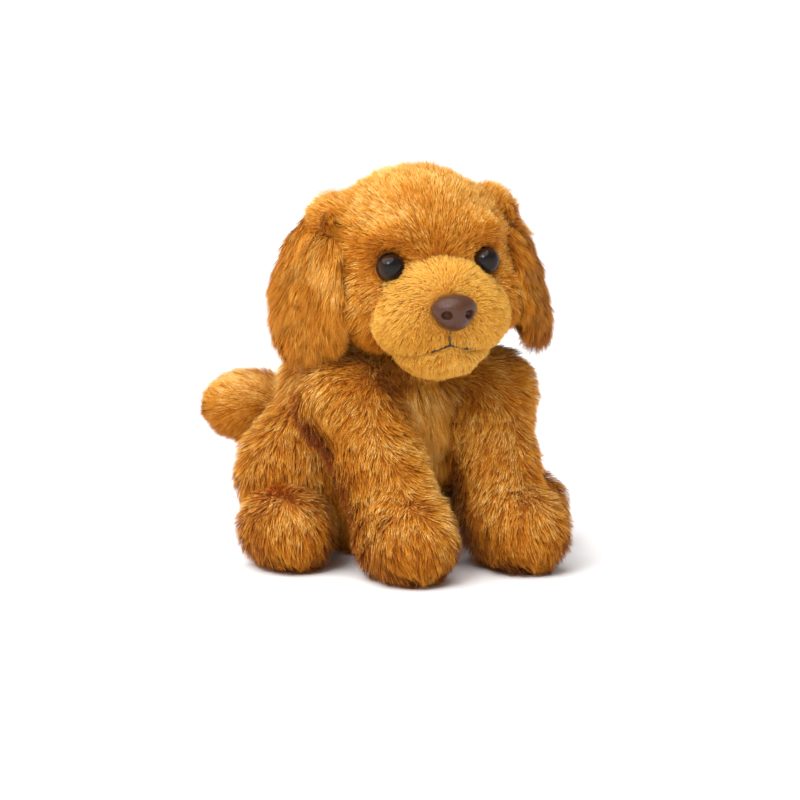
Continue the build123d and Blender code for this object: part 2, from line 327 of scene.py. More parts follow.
def ribbon_mesh(name, points, count):
    """Two four-sided faces and a pointed one for each hair."""
    quad = []
    for segment in range(SEGMENTS - 1):
        quad += [2 * segment, 2 * segment + 1, 2 * segment + 3, 2 * segment + 2]
    last = 2 * (SEGMENTS - 1)
    pattern = np.array(quad + [last, last + 1, last + 2])
    loops = (np.arange(count)[:, None] * (SEGMENTS * 2 + 1) + pattern[None, :]).ravel()
    totals = np.tile(np.array([4] * (SEGMENTS - 1) + [3]), count)
    starts = np.concatenate([[0], np.cumsum(totals)[:-1]])
    mesh = bpy.data.meshes.new(name)
    mesh.vertices.add(len(points))
    mesh.vertices.foreach_set("co", points.astype(np.float32).ravel())
    mesh.loops.add(len(loops))
    mesh.loops.foreach_set("vertex_index", loops.astype(np.int32))
    mesh.polygons.add(len(totals))
    mesh.polygons.foreach_set("loop_start", starts.astype(np.int32))
    mesh.polygons.foreach_set("loop_total", totals.astype(np.int32))
    return mesh


def tint_slots(root, normal, follow, tint_shift, tints, rng):
    """The material of each face: tufts and broad patches differ, and pile that faces up is paler and pile
    that faces sideways or down darker, as painted light and shade.
    """
    shade = waves(root, TINT_BROAD, rng) * TINT_BROAD_SHARE
    shade = shade + waves(root[follow], TINT_TUFT, rng) * TINT_TUFT_SHARE
    shade = shade + rng.normal(size=len(root)) * TINT_STRAY
    # Painted light and shade: pile facing up takes paler tints, pile facing sideways or down darker ones.
    lift = PAINTED_LIGHT_ABOVE * normal[:, 2] - PAINTED_SHADE_AROUND
    tint = np.round((shade * TINT_SPREAD + 0.5 + lift + tint_shift) * (tints - 1))
    tint = np.clip(tint, 0, tints - 1).astype(int)
    return (tint[:, None] * SEGMENTS + np.arange(SEGMENTS)[None, :]).ravel()


def grow_fur(name, skin, count, length, flow, width=0.27, lean=50, bend=0.35, droop=0.15, clump=0.35,
             strands_per_clump=16, wander=16, seed=1, tint_shift=0.0, where=None, palette="coat", short=None):
    """Hairs on a skin, combed along flow(points, normals), in tufts. Length and width are in millimetres,
    short(points) scales the length, and where(points, normals) says how thick the fur is."""
    rng = np.random.default_rng(seed)
    root, normal = scatter_roots(skin, count, where, rng)
    path = comb_hairs(root, normal, length, flow, lean, bend, droop, wander, short, rng)
    path, follow = gather_tufts(path, root, clump, strands_per_clump, rng)
    points, facing = flatten_to_ribbons(path, normal, width, rng)
    mesh = ribbon_mesh(name, points, count)
    slots = tint_slots(root, normal, follow, tint_shift, len(PALETTES[palette]), rng)
    mesh.polygons.foreach_set("material_index", slots.astype(np.int32))
    mesh.update(calc_edges=True)
    mesh.polygons.foreach_set("use_smooth", np.ones(len(slots), bool))
    for material in fur_materials(palette):
        mesh.materials.append(material)
    mesh.normals_split_custom_set_from_vertices(np.repeat(facing, SEGMENTS * 2 + 1, axis=0).tolist())
    piece = bpy.data.objects.new(name, mesh)
    bpy.context.collection.objects.link(piece)
    return piece


# ---- materials ----
# Linear colours of the pile from root to tip, darkest tint to lightest. Besides random tone, the tints carry
# painted light and shade: pile facing up takes the lighter rows.
PALETTES = {
    "coat": [((0.32, 0.066, 0.002), (0.45, 0.120, 0.004), (0.57, 0.190, 0.013)),
             ((0.37, 0.084, 0.003), (0.53, 0.155, 0.006), (0.68, 0.265, 0.026)),
             ((0.43, 0.108, 0.004), (0.63, 0.220, 0.012), (0.81, 0.400, 0.068)),
             ((0.52, 0.160, 0.010), (0.77, 0.345, 0.040), (0.95, 0.620, 0.200))],
    "muzzle": [((0.56, 0.185, 0.010), (0.71, 0.290, 0.024), (0.81, 0.400, 0.058)),
               ((0.64, 0.240, 0.016), (0.81, 0.385, 0.044), (0.90, 0.510, 0.105)),
               ((0.68, 0.270, 0.022), (0.86, 0.440, 0.062), (0.94, 0.580, 0.145))],
}
made = {}


def principled(name, colour, roughness, sheen=0.0, sheen_tint=(1, 1, 1)):
    material = bpy.data.materials.new(name)
    material.use_nodes = True
    shader = material.node_tree.nodes["Principled BSDF"]
    shader.inputs["Base Color"].default_value = (*colour, 1)
    shader.inputs["Roughness"].default_value = roughness
    shader.inputs["Sheen Weight"].default_value = sheen
    shader.inputs["Sheen Roughness"].default_value = 0.45
    shader.inputs["Sheen Tint"].default_value = (*sheen_tint, 1)
    return material, shader


def fur_materials(palette):
    """One plain material for each part of a hair's length and each tint: the pattern is in the hairs."""
    if palette not in made:
        made[palette] = []
        for row, (root, middle, tip) in enumerate(PALETTES[palette]):
            for part, colour in (("root", root), ("middle", middle), ("tip", tip)):
                material, shader = principled(f"{palette}_pile_{part}_{row}", colour, 0.62,
                                              sheen=0.12, sheen_tint=(1.0, 0.72, 0.36))
                shader.inputs["Specular IOR Level"].default_value = 0.10
                made[palette].append(material)
    return made[palette]


def backing_material(name, dark, light):
    """The dense underfur seen between the hairs: mottled, streaked, with a rough bump."""
    material, shader = principled(name, light, 0.9)
    nodes, links = material.node_tree.nodes, material.node_tree.links
    place = nodes.new("ShaderNodeTexCoord")
    mottle = nodes.new("ShaderNodeTexNoise")
    mottle.inputs["Scale"].default_value = 220
    mottle.inputs["Detail"].default_value = 5
    ramp = nodes.new("ShaderNodeValToRGB")
    ramp.color_ramp.elements[0].position, ramp.color_ramp.elements[0].color = 0.35, (*dark, 1)
    ramp.color_ramp.elements[1].position, ramp.color_ramp.elements[1].color = 0.7, (*light, 1)
    bump = nodes.new("ShaderNodeBump")
    bump.inputs["Strength"].default_value = 0.6
    bump.inputs["Distance"].default_value = 0.001
    links.new(place.outputs["Object"], mottle.inputs["Vector"])
    links.new(mottle.outputs["Fac"], ramp.inputs["Fac"])
    links.new(ramp.outputs["Color"], shader.inputs["Base Color"])
    links.new(mottle.outputs["Fac"], bump.inputs["Height"])
    links.new(bump.outputs["Normal"], shader.inputs["Normal"])
    return material


BACKING = backing_material("coat_backing", (0.46, 0.130, 0.006), (0.62, 0.220, 0.014))
MUZZLE_BACKING = backing_material("muzzle_backing", (0.50, 0.175, 0.014), (0.66, 0.280, 0.035))
STRAND_DARK, STRAND_LIGHT = (0.030, 0.010, 0.003), (0.085, 0.030, 0.010)


def thread_material():
    """Twisted brown thread: slanting ridges along its length."""
    material, shader = principled("mouth_thread", STRAND_LIGHT, 0.7, sheen=0.2)
    nodes, links = material.node_tree.nodes, material.node_tree.links
    place = nodes.new("ShaderNodeTexCoord")
    ridges = nodes.new("ShaderNodeTexWave")
    ridges.inputs["Scale"].default_value = 380
    ridges.inputs["Distortion"].default_value = 1.5
    ramp = nodes.new("ShaderNodeValToRGB")
    ramp.color_ramp.elements[0].color = (*STRAND_DARK, 1)
    ramp.color_ramp.elements[1].color = (*STRAND_LIGHT, 1)
    bump = nodes.new("ShaderNodeBump")
    bump.inputs["Distance"].default_value = 0.0004
    links.new(place.outputs["Object"], ridges.inputs["Vector"])
    links.new(ridges.outputs["Fac"], ramp.inputs["Fac"])
    links.new(ramp.outputs["Color"], shader.inputs["Base Color"])
    links.new(ridges.outputs["Fac"], bump.inputs["Height"])
    links.new(bump.outputs["Normal"], shader.inputs["Normal"])
    return material


def eye_material():
    """Near-black polished plastic with a dark brown ring painted behind the dome."""
    material, shader = principled("eye_plastic", (0.010, 0.007, 0.006), 0.06)
    shader.inputs["Specular IOR Level"].default_value = 0.20
    nodes, links = material.node_tree.nodes, material.node_tree.links
    place = nodes.new("ShaderNodeTexCoord")
    facing = nodes.new("ShaderNodeVectorMath")
    facing.operation = "NORMALIZE"
    split = nodes.new("ShaderNodeSeparateXYZ")
    ramp = nodes.new("ShaderNodeValToRGB")
    ring = ramp.color_ramp
    ring.elements[0].position, ring.elements[0].color = 0.30, (0.008, 0.005, 0.004, 1)
    ring.elements[1].position, ring.elements[1].color = 0.90, (0.010, 0.007, 0.006, 1)
    for position, colour in ((0.45, (0.040, 0.015, 0.006, 1)), (0.68, (0.028, 0.011, 0.005, 1)),
                             (0.78, (0.012, 0.008, 0.006, 1))):
        stop = ring.elements.new(position)
        stop.color = colour
    links.new(place.outputs["Object"], facing.inputs[0])
    links.new(facing.outputs[0], split.inputs[0])
    links.new(split.outputs["Z"], ramp.inputs["Fac"])
    links.new(ramp.outputs["Color"], shader.inputs["Base Color"])
    return material


def nose_material():
    """Chocolate brown moulded plastic with a fine pebble grain."""
    material, shader = principled("nose_plastic", (0.075, 0.028, 0.014), 0.34)
    shader.inputs["Specular IOR Level"].default_value = 0.3
    nodes, links = material.node_tree.nodes, material.node_tree.links
    place = nodes.new("ShaderNodeTexCoord")
    grain = nodes.new("ShaderNodeTexVoronoi")
    grain.inputs["Scale"].default_value = 900
    cloud = nodes.new("ShaderNodeTexNoise")
    cloud.inputs["Scale"].default_value = 130
    ramp = nodes.new("ShaderNodeValToRGB")
    ramp.color_ramp.elements[0].color = (0.055, 0.019, 0.010, 1)
    ramp.color_ramp.elements[1].color = (0.098, 0.038, 0.020, 1)
    bump = nodes.new("ShaderNodeBump")
    bump.inputs["Strength"].default_value = 0.35
    bump.inputs["Distance"].default_value = 0.0003
    links.new(place.outputs["Object"], grain.inputs["Vector"])
    links.new(place.outputs["Object"], cloud.inputs["Vector"])
    links.new(cloud.outputs["Fac"], ramp.inputs["Fac"])
    links.new(ramp.outputs["Color"], shader.inputs["Base Color"])
    links.new(grain.outputs["Distance"], bump.inputs["Height"])
    links.new(bump.outputs["Normal"], shader.inputs["Normal"])
    return material


def hidden_material(name, dark, light, scale):
    """Pellets and washers inside, out of sight."""
    material = backing_material(name, dark, light)
    material.node_tree.nodes["Noise Texture"].inputs["Scale"].default_value = scale
    return material


# ---- carrying: a cover and its fur move alike ----
def carried(piece, body, blend=None):
    """Rides on one body; given a blend, it stays where it stands, and the blend is not used."""
    if blend is None:
        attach(piece, body)
    else:
        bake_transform(piece)
    return piece


def cover(name, field, nodes, body, backing, voxel=2.0, blend=None):
    """A stuffed fur fabric piece: stands for its CAD nodes."""
    piece = skin_of(name, field, voxel)
    piece.data.materials.append(backing)
    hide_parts(*nodes)
    return carried(piece, body, blend)


# ---- head ----
FUR_SHARE = 1.0


def hairs(count):
    return int(count * FUR_SHARE)


def egg_in_head(x, y, z, size, **turn):
    return egg(in_head(x, y, z), size, spun(HEAD_AXES, **turn))


BALL = HEAD_RADIUS - PILE
EYE_AT = {}
for name, side in SIDES.items():
    outward = -HEAD_AXES[1]
    EYE_AT[name] = (washers[name] + outward * EYE_STEM * MM, outward)
NOSE_AT = in_head(0, -66.5, -22.5)

# Swellings and hollows of the head, for its left side: place from the head's centre, then half sizes.
CHEEK = ((24, -20, -20), (24, 24, 20))
BROW = ((21, -38, 15), (13, 8, 7))
EAR_BASE = ((42, 2, 25), (12, 15, 11))
BROW_CREASE = ((13, -51, 8), (19, -51, 12), 2.2, 2.0)
SOCKET_RADIUS, SOCKET_OUT = 9.2, 1.5
NECK_HOLLOW, NECK_OPENING = 29, 23

skull_adds = [egg_in_head(0, 0, 0, (BALL, BALL, BALL))]
skull_cuts = [egg(NECK, (NECK_HOLLOW,) * 3), rod(NECK, off(NECK, 0, 0, -60), NECK_OPENING, NECK_OPENING)]
for name, side in SIDES.items():
    for (x, y, z), size in (CHEEK, BROW, EAR_BASE):
        skull_adds.append(egg_in_head(side * x, y, z, size))
    eye, outward = EYE_AT[name]
    skull_cuts.append(egg(eye + outward * SOCKET_OUT * MM, (SOCKET_RADIUS,) * 3))
    inner, outer, inner_radius, outer_radius = BROW_CREASE
    skull_cuts.append(rod(in_head(side * inner[0], *inner[1:]), in_head(side * outer[0], *outer[1:]),
                          inner_radius, outer_radius))
skull = form(skull_adds, skull_cuts, softness=9, cut_softness=2.5)

MUZZLE_TOP = ((0, -37, -15), (28, 24, 21))
CHIN = ((0, -36, -44), (22, 22, 14))
LOBE = ((14, -41, -27), (21.5, 21, 18.5))
MOUTH_PATH = [(0, -41), (9, -43.5), (17, -44), (26, -42.5)]     # sideways and up, to the left corner
PHILTRUM = (-31, -41)
CHIN_PARTING = (-46, -52)
muzzle_adds = [egg_in_head(*place, size) for place, size in (MUZZLE_TOP, CHIN)]
for side in SIDES.values():
    (x, y, z), size = LOBE
    muzzle_adds.append(egg_in_head(side * x, y, z, size))
muzzle_bulk = form(muzzle_adds, softness=7)


def on_muzzle(x, z):
    """The point of the muzzle's surface straight in front of a place on the head."""
    ray = in_head(x, -90, z)
    back = HEAD_AXES[1]
    for _ in range(60):
        gap = float(muzzle_bulk(ray[None, :])[0])
        if gap < 0.05 * MM:
            break
        ray = ray + back * gap * 0.8
    return ray


philtrum = [on_muzzle(0, z) for z in PHILTRUM]
lips = {side: [on_muzzle(side * x, z) for x, z in MOUTH_PATH] for side in SIDES.values()}
grooves = [rod(philtrum[0], philtrum[1], 1.7, 1.7),
           rod(on_muzzle(0, CHIN_PARTING[0]), on_muzzle(0, CHIN_PARTING[1]), 1.6, 0.8)]
for side, path in lips.items():
    for start, end in zip(path, path[1:]):
        grooves.append(rod(start, end, 2.1, 1.9))
NOSE_BED = (11.5, 8.5, 8.5)
muzzle_cuts = grooves + [egg(NOSE_AT, NOSE_BED, HEAD_AXES), egg(NECK, (NECK_HOLLOW,) * 3)]
muzzle = form([muzzle_bulk], muzzle_cuts, softness=7, cut_softness=2.0)

head_cover = cover("head_cover", skull, ["head_skin", "head_stuffing"], "head", BACKING)
muzzle_cover = cover("muzzle_cover", muzzle, ["muzzle_skin"], "head", MUZZLE_BACKING, voxel=1.4)

BRIDGE = in_head(0, -58, -2)


def head_flow(points, normals):
    """Up and back over the forehead, down and back over the cheeks."""
    local = (points - HEAD_CENTRE) @ HEAD_AXES.T / MM
    away = unit(points - BRIDGE)
    cheek = np.clip((5 - local[:, 2]) / 25, 0, 1)[:, None]
    return away + cheek * np.array([0, 0, -0.8])


def muzzle_flow(points, normals):
    """Away from the nose, drooping at the sides."""
    local = (points - NOSE_AT) @ HEAD_AXES.T / MM
    side = np.clip(np.abs(local[:, 0]) / 20, 0, 1)[:, None]
    return unit(points - (NOSE_AT + 6 * MM * HEAD_AXES[2])) + side * np.array([0, 0, -0.5])


def bare_of_muzzle(points, normals):
    """No fur where the muzzle sits on the head, or in the eye sockets and the neck."""
    weight = (muzzle_bulk(points) > -1.0 * MM).astype(float)
    for eye, _ in EYE_AT.values():
        weight *= np.linalg.norm(points - eye, axis=1) > 8.8 * MM
    weight *= np.linalg.norm(points - NECK, axis=1) > 31 * MM
    return weight + ALMOST_NONE


NOSE_BARE = (12.2, 11, 9.6)       # half sizes of the egg round the nose that grows no fur


def bare_of_head(points, normals):
    """No fur where the muzzle meets the head, under the nose or in the mouth's line."""
    weight = (skull(points) > -1.5 * MM).astype(float)
    weight *= np.linalg.norm((points - NOSE_AT) @ HEAD_AXES.T / np.array(NOSE_BARE) / MM, axis=1) > 1
    for groove in grooves:
        weight *= groove(points) > -0.5 * MM
    return weight + ALMOST_NONE


def short_at_face(points):
    """The pile is shortest round the eyes and grows longer over the cheeks and the crown."""
    nearest = np.min([np.linalg.norm(points - eye, axis=1) for eye, _ in EYE_AT.values()], axis=0) / MM
    return np.clip(0.45 + (nearest - 9) / 36, 0.45, 1.0)


def short_at_nose(points):
    distance = np.linalg.norm(points - NOSE_AT, axis=1) / MM
    return np.clip(0.45 + (distance - 12) / 28, 0.45, 1.0)


for layer, seed in (("head_fur", 11), ("head_fur_fine", 13)):
    fur = grow_fur(layer, head_cover, hairs(38000), 9.0, head_flow, lean=56, seed=seed,
                   where=bare_of_muzzle, short=short_at_face)
    carried(fur, "head")
muzzle_fur = grow_fur("muzzle_fur", muzzle_cover, hairs(36000), 4.6, muzzle_flow, lean=50, seed=12,
                      width=0.26, where=bare_of_head, short=short_at_nose, palette="muzzle", wander=12,
                      clump=0.25)
carried(muzzle_fur, "head")


# ---- eyes, nose and mouth ----
def aligned(outward):
    """Axes for a piece whose own Z points outward."""
    up = HEAD_AXES[2]
    side = np.cross(up, outward)
    side /= np.linalg.norm(side)
    return np.stack([side, np.cross(outward, side), outward])


for name, (eye, outward) in EYE_AT.items():
    bpy.ops.mesh.primitive_uv_sphere_add(segments=64, ring_count=32, radius=EYE_RADIUS * MM)
    shell = bpy.context.object
    shell.name = f"eye_{name}_shell"
    bpy.ops.object.shade_smooth()
    shell.matrix_world = Matrix.Translation(eye) @ Matrix(aligned(outward).T.tolist()).to_4x4()
    shell.data.materials.append(eye_material())
    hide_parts(f"eye_{name}")
    carried(shell, "head")


def from_nose(x, y, z):
    """A point given in millimetres from the nose's middle, in the head's own directions."""
    return NOSE_AT + np.array([x, y, z]) * MM @ HEAD_AXES


NOSE_TOP, NOSE_FOOT = (1.5, (12.2, 9.5, 7.6)), (-4.0, (7.5, 8.6, 6.0))     # height, half sizes
NOSTRIL_PLACE, NOSTRIL_SIZE = (6.2, -8.0, -1.2), (2.9, 4.2, 2.3)
nose_adds = [egg(off(NOSE_AT, 0, 0, height), size, HEAD_AXES) for height, size in (NOSE_TOP, NOSE_FOOT)]
nose_cuts = [rod(from_nose(0, -10.5, -3), from_nose(0, -9.0, -12), 1.0, 1.6)]
for side in SIDES.values():
    nose_cuts.append(egg(from_nose(side * NOSTRIL_PLACE[0], *NOSTRIL_PLACE[1:]), NOSTRIL_SIZE, HEAD_AXES))
nose_shell = skin_of("nose_shell", form(nose_adds, nose_cuts, softness=5, cut_softness=1.2), 0.6)
nose_shell.data.materials.append(nose_material())
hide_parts("nose")
carried(nose_shell, "head")

THREAD_RADIUS = 0.6
SUNK = HEAD_AXES[1] * MM          # the thread lies a millimetre deep in its groove
thread_rods = []
for path in (philtrum, *lips.values()):
    for start, end in zip(path, path[1:]):
        thread_rods.append(rod(start + SUNK, end + SUNK, THREAD_RADIUS, THREAD_RADIUS))
mouth_thread = skin_of("mouth_thread", form(thread_rods, softness=0.5), 0.5)
mouth_thread.data.materials.append(thread_material())
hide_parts("mouth_stitching")
carried(mouth_thread, "head")

# ---- ears: an outer panel and a lining ----
EAR_CENTRE = (58, 4, -7)          # from the head's centre, for the left ear
EAR_SPLAY, EAR_FLARE = 13, 20     # degrees that the ear stands off the head, below and behind
EAR_HALF = (5.5, 26, 35)          # half thickness, half width, half length
EAR_TIP = ((0, -8, -12), (6.5, 26, 23))        # from the ear's middle, in its own directions
EAR_TOP = ((-2, -2, 12), (5.0, 22, 18))
EAR_ROOT_HALF, EAR_ROOT_RADIUS = 13, 3.5
EAR_BEND = (6, 14)                # distances above and below the hinge for the points of the ear's blend
EAR_PANELS = {"outer": (12.5, 34000, 20), "lining": (7.5, 9000, 22)}       # pile, hairs, seed
for name, side in SIDES.items():
    axes = spun(spun(HEAD_AXES, z=-side * EAR_FLARE), y=-side * EAR_SPLAY)
    middle = in_head(side * EAR_CENTRE[0], EAR_CENTRE[1], EAR_CENTRE[2])
    outer_way = axes[0] * side
    leaf_adds = [egg(middle, EAR_HALF, axes)]
    for (x, y, z), size in (EAR_TIP, EAR_TOP):
        leaf_adds.append(egg(middle + np.array([side * x, y, z]) * MM @ axes, size, axes))
    hinge, reach = EAR_ROOT[name], HEAD_AXES[1] * EAR_ROOT_HALF * MM
    root = rod(hinge + reach, hinge - reach, EAR_ROOT_RADIUS, EAR_ROOT_RADIUS)
    leaf = form(leaf_adds + [root], cuts=[grown(skull, 1.0)], softness=8)
    bend = ("head", f"ear_{name}", hinge + HEAD_AXES[2] * EAR_BEND[0] * MM,
            hinge - HEAD_AXES[2] * EAR_BEND[1] * MM)
    down = -axes[2]
    for panel, (pile, count, seed) in EAR_PANELS.items():
        panel_way = outer_way if panel == "outer" else -outer_way
        piece = cover(f"ear_{name}_{panel}_cover",
                      form([leaf], keeps=[slab(middle, -panel_way)], cut_softness=0.5),
                      [f"ear_{name}_{panel}"], f"ear_{name}", BACKING, voxel=1.6, blend=bend)

        def ear_flow(points, normals):
            rear = (points - middle) @ axes[1]
            return down + axes[1] * np.clip(rear / (30 * MM), -0.6, 0.6)[:, None]

        def facing_out(points, normals):
            return np.clip(normals @ panel_way + 0.35, 0, 1) * (skull(points) > 0.5 * MM) + ALMOST_NONE

        def short_at_root(points):
            """The pile is short where the ear leaves the head, so that the crown runs into it."""
            below = (hinge - points) @ HEAD_AXES[2] / MM
            return np.clip(0.4 + (below + 4) / 30, 0.35, 1.0)
        fur = grow_fur(f"ear_{name}_{panel}_fur", piece, hairs(count), pile, ear_flow, lean=62, bend=0.5,
                       droop=0.3, clump=0.5, strands_per_clump=24, wander=26, seed=seed + side,
                       where=facing_out, short=short_at_root, tint_shift=-0.22)
        carried(fur, f"ear_{name}", blend=bend)

# ---- legs ----
# The body's forms in millimetres: outer radii with the fur, but the back and the withers as places
# from the seat and half sizes without it.
SEAT_RADIUS, SHOULDER_RADIUS, ARM_RADIUS, PAW_RADIUS = 52, 28, 26, 25
HAUNCH_RADIUS, HOCK_RADIUS, FOOT_RADIUS = 38, 19, 24
TAIL_ROOT_RADIUS, TAIL_RADIUS, TAIL_HALF_LENGTH = 17, 20, 27
BACK, WITHERS = ((0, 2, 83), (57, 51, 51)), ((0, -18, 114), (42, 30, 18))
PAW_INNER, FOOT_INNER = 9.5, 16   # the flat inner sides, from the dog's middle
SOLE_HEIGHT = 2.6                 # below this the pile is pressed flat, so hardly any hair is grown
torso_base = form([egg(off(SEAT, 0, 0, 43), (SEAT_RADIUS - PILE,) * 3)]
                  + [egg(off(SEAT, *place), size) for place, size in (BACK, WITHERS)], softness=10)
ABOVE_FLOOR = slab((0, 0, 1.5 * MM), (0, 0, -1))


def ball(point, radius):
    """A ball given by its outer radius, so that the pile ends there."""
    return egg(point, (radius - PILE,) * 3)


def roll(start, end, start_radius, end_radius):
    return rod(start, end, start_radius - PILE, end_radius - PILE)


def beyond(side, distance):
    """What lies further out on a side than a distance from the dog's middle."""
    return slab((side * distance * MM, 0, 0), (-side, 0, 0))


def flared(limb, softness=16):
    """A limb with a soft skirt that runs out over the torso, as brushed pile does."""
    joined = form([limb, torso_base], softness=softness)
    skirt = form([joined], cuts=[grown(torso_base, 0.4)], cut_softness=0.5)
    return form([limb, skirt], softness=0.5)


def front_leg_form(shoulder, side):
    """Shoulder, arm and paw, flat towards the other leg and on the floor."""
    arm = roll(off(shoulder, -8, -10, -14, side), off(shoulder, -13, -40, -60, side), ARM_RADIUS, PAW_RADIUS)
    paw = roll(off(shoulder, -11, -43, -68, side), off(shoulder, -11, -57, -68, side), PAW_RADIUS, PAW_RADIUS)
    limb = flared(form([ball(shoulder, SHOULDER_RADIUS), arm, paw], softness=9), softness=22)
    return form([limb], keeps=[ABOVE_FLOOR, beyond(side, PAW_INNER)])


def hind_leg_form(hip, side):
    """Haunch and hock, and the foot that lies forward on the floor."""
    foot = roll(off(hip, 28, -31, -24, side), off(hip, 28, -45, -24, side), FOOT_RADIUS, FOOT_RADIUS)
    hock = ball(off(hip, 20, -22, -20, side), HOCK_RADIUS)
    limb = flared(form([ball(hip, HAUNCH_RADIUS), hock], softness=8))
    return form([limb, foot], keeps=[ABOVE_FLOOR, beyond(side, FOOT_INNER)], softness=3)


front_forms = {name: front_leg_form(SHOULDER[name], side) for name, side in SIDES.items()}
hind_forms = {name: hind_leg_form(HIP[name], side) for name, side in SIDES.items()}

TAIL_SWING = 62                   # degrees from straight back, towards the dog's right
TAIL_SIZE = (TAIL_RADIUS - PILE, TAIL_HALF_LENGTH - PILE, TAIL_RADIUS - PILE)
tail_axes = spun(WORLD_AXES, z=TAIL_SWING)
tail_middle = off(TAIL_ROOT, -30, 16, 7)
tail_form = form([ball(TAIL_ROOT, TAIL_ROOT_RADIUS), egg(tail_middle, TAIL_SIZE, tail_axes)], softness=8)
tail_form = flared(tail_form, softness=14)
LIMBS = (*front_forms.values(), *hind_forms.values(), tail_form)

for name, side in SIDES.items():
    shoulder, hip = SHOULDER[name], HIP[name]
    bend = ("torso", f"front_leg_{name}", off(shoulder, 0, 15, 22), off(shoulder, 0, -15, -25))
    piece = cover(f"front_leg_{name}_cover", front_forms[name],
                  [f"front_leg_{name}_skin", f"front_leg_{name}_stuffing"], f"front_leg_{name}",
                  BACKING, blend=bend)
    seam_top, seam_foot = off(shoulder, -3, -28, -6, side), off(shoulder, -9, -66, -52, side)
    seam_way = unit(seam_foot - seam_top)

    def leg_flow(points, normals):
        """Down the leg and away to both sides of a parting down its front; over the paw towards the floor."""
        along = points - seam_top
        aside = points[:, 0] - (seam_top[0] + (along @ seam_way) * seam_way[0])
        part = np.tanh(aside / (5 * MM))[:, None] * np.array([1.0, 0.45, 0])
        low = np.clip((46 * MM - points[:, 2]) / (22 * MM), 0, 1)[:, None]
        over_paw = np.array([0, -0.75, -0.7]) + 0.25 * part
        high = np.clip((points[:, 2] - 76 * MM) / (26 * MM), 0, 1)[:, None]
        from_neck = unit((points - NECK) * np.array([1, 1, 0.35]))
        return ((seam_way * 0.8 + part) * (1 - high) + from_neck * high) * (1 - low) + over_paw * low

    def off_floor(points, normals):
        """Hardly any fur under the sole, and less on the side that the other paw hides."""
        hidden = (side * points[:, 0] < 12 * MM) & (normals[:, 0] * side < -0.9)
        return np.where(points[:, 2] < SOLE_HEIGHT * MM, 0.02, 1.0) * np.where(hidden, 0.3, 1.0)
    fur = grow_fur(f"front_leg_{name}_fur", piece, hairs(38000), 8.5, leg_flow, lean=52, seed=31 + side,
                   where=off_floor)
    carried(fur, f"front_leg_{name}", blend=bend)

    bend = ("torso", f"hind_leg_{name}", off(hip, 0, 22, 26), off(hip, 0, -18, -24))
    piece = cover(f"hind_leg_{name}_cover", hind_forms[name],
                  [f"hind_leg_{name}_skin", f"hind_leg_{name}_stuffing"], f"hind_leg_{name}",
                  BACKING, blend=bend)
    toes = off(hip, 28, -60, -18, side)

    def hind_flow(points, normals):
        """Down over the haunch and forward onto the foot; over the foot towards the toes and the floor."""
        low = np.clip((44 * MM - points[:, 2]) / (16 * MM), 0, 1)[:, None]
        low = low * np.clip((10 * MM - points[:, 1]) / (16 * MM), 0, 1)[:, None]
        aside = np.tanh((points[:, 0] - toes[0]) / (14 * MM))[:, None] * np.array([0.3, 0, 0])
        rear = np.clip((points[:, 1] - hip[1]) / (16 * MM), -1, 1)[:, None] * np.array([0, 0.4, 0])
        return (rear + np.array([0, 0, -1.0])) * (1 - low) + (np.array([0, -0.7, -0.7]) + aside) * low

    def off_floor_hind(points, normals):
        """Hardly any fur under the sole."""
        return np.where(points[:, 2] < SOLE_HEIGHT * MM, 0.02, 1.0)
    fur = grow_fur(f"hind_leg_{name}_fur", piece, hairs(36000), 9.0, hind_flow, lean=52, seed=41 + side,
                   where=off_floor_hind)
    carried(fur, f"hind_leg_{name}", blend=bend)

# ---- neck: a furred plug, seen under the chin when the head nods ----
NECK_BALL, NECK_TOP, NECK_FOOT = 27.4, 15, 13      # radii of its ball and of its stem
neck_form = form([egg(NECK, (NECK_BALL,) * 3), rod(NECK, off(NECK, 0, 0, -46), NECK_TOP, NECK_FOOT)],
                 softness=12)
neck_cover = cover("neck_cover", neck_form, ["neck_stuffing"], "neck", BACKING)


def below_the_jaw(points, normals):
    return np.clip((NECK[2] - points[:, 2]) / (12 * MM), 0, 1) + ALMOST_NONE


def neck_flow(points, normals):
    """Down and outward from the throat."""
    return unit((points - NECK) * np.array([1, 1, 0])) + np.array([0, 0, -1.0])


neck_fur = grow_fur("neck_fur", neck_cover, hairs(14000), 7.0, neck_flow, lean=60, seed=71,
                    where=below_the_jaw)
carried(neck_fur, "neck")

# ---- torso, bib and seat ----
torso_cuts = [grown(skull, 2.0), grown(muzzle_bulk, 5.0)]
torso_cuts += [grown(field, 0.6) for field in LIMBS]
torso = form([torso_base], torso_cuts, keeps=[slab((0, 0, 2.4 * MM), (0, 0, -1))], cut_softness=2)
torso_cover = cover("torso_cover", torso, ["torso_skin", "torso_stuffing"], "torso", BACKING)


def torso_flow(points, normals):
    """Down, and outward over the chest."""
    return np.array([0, 0, -1.0]) + np.stack([points[:, 0] * 4, points[:, 0] * 0, points[:, 0] * 0], axis=1)


def open_torso(points, normals):
    """No fur in the hollows that the head, the legs and the tail fill."""
    weight = (skull(points) > 3 * MM).astype(float)
    for field in LIMBS:
        weight *= field(points) > 0.8 * MM
    return weight * np.where(points[:, 2] < 3.2 * MM, 0.02, 1.0) + ALMOST_NONE


# tint_shift puts the torso's pile on paler tints than the rest of the coat: painted light over the shade that
# the head and ears cast on it.
torso_fur = grow_fur("torso_fur", torso_cover, hairs(38000), 10.0, torso_flow, lean=54, seed=51,
                     where=open_torso, tint_shift=0.25)
carried(torso_fur, "torso")

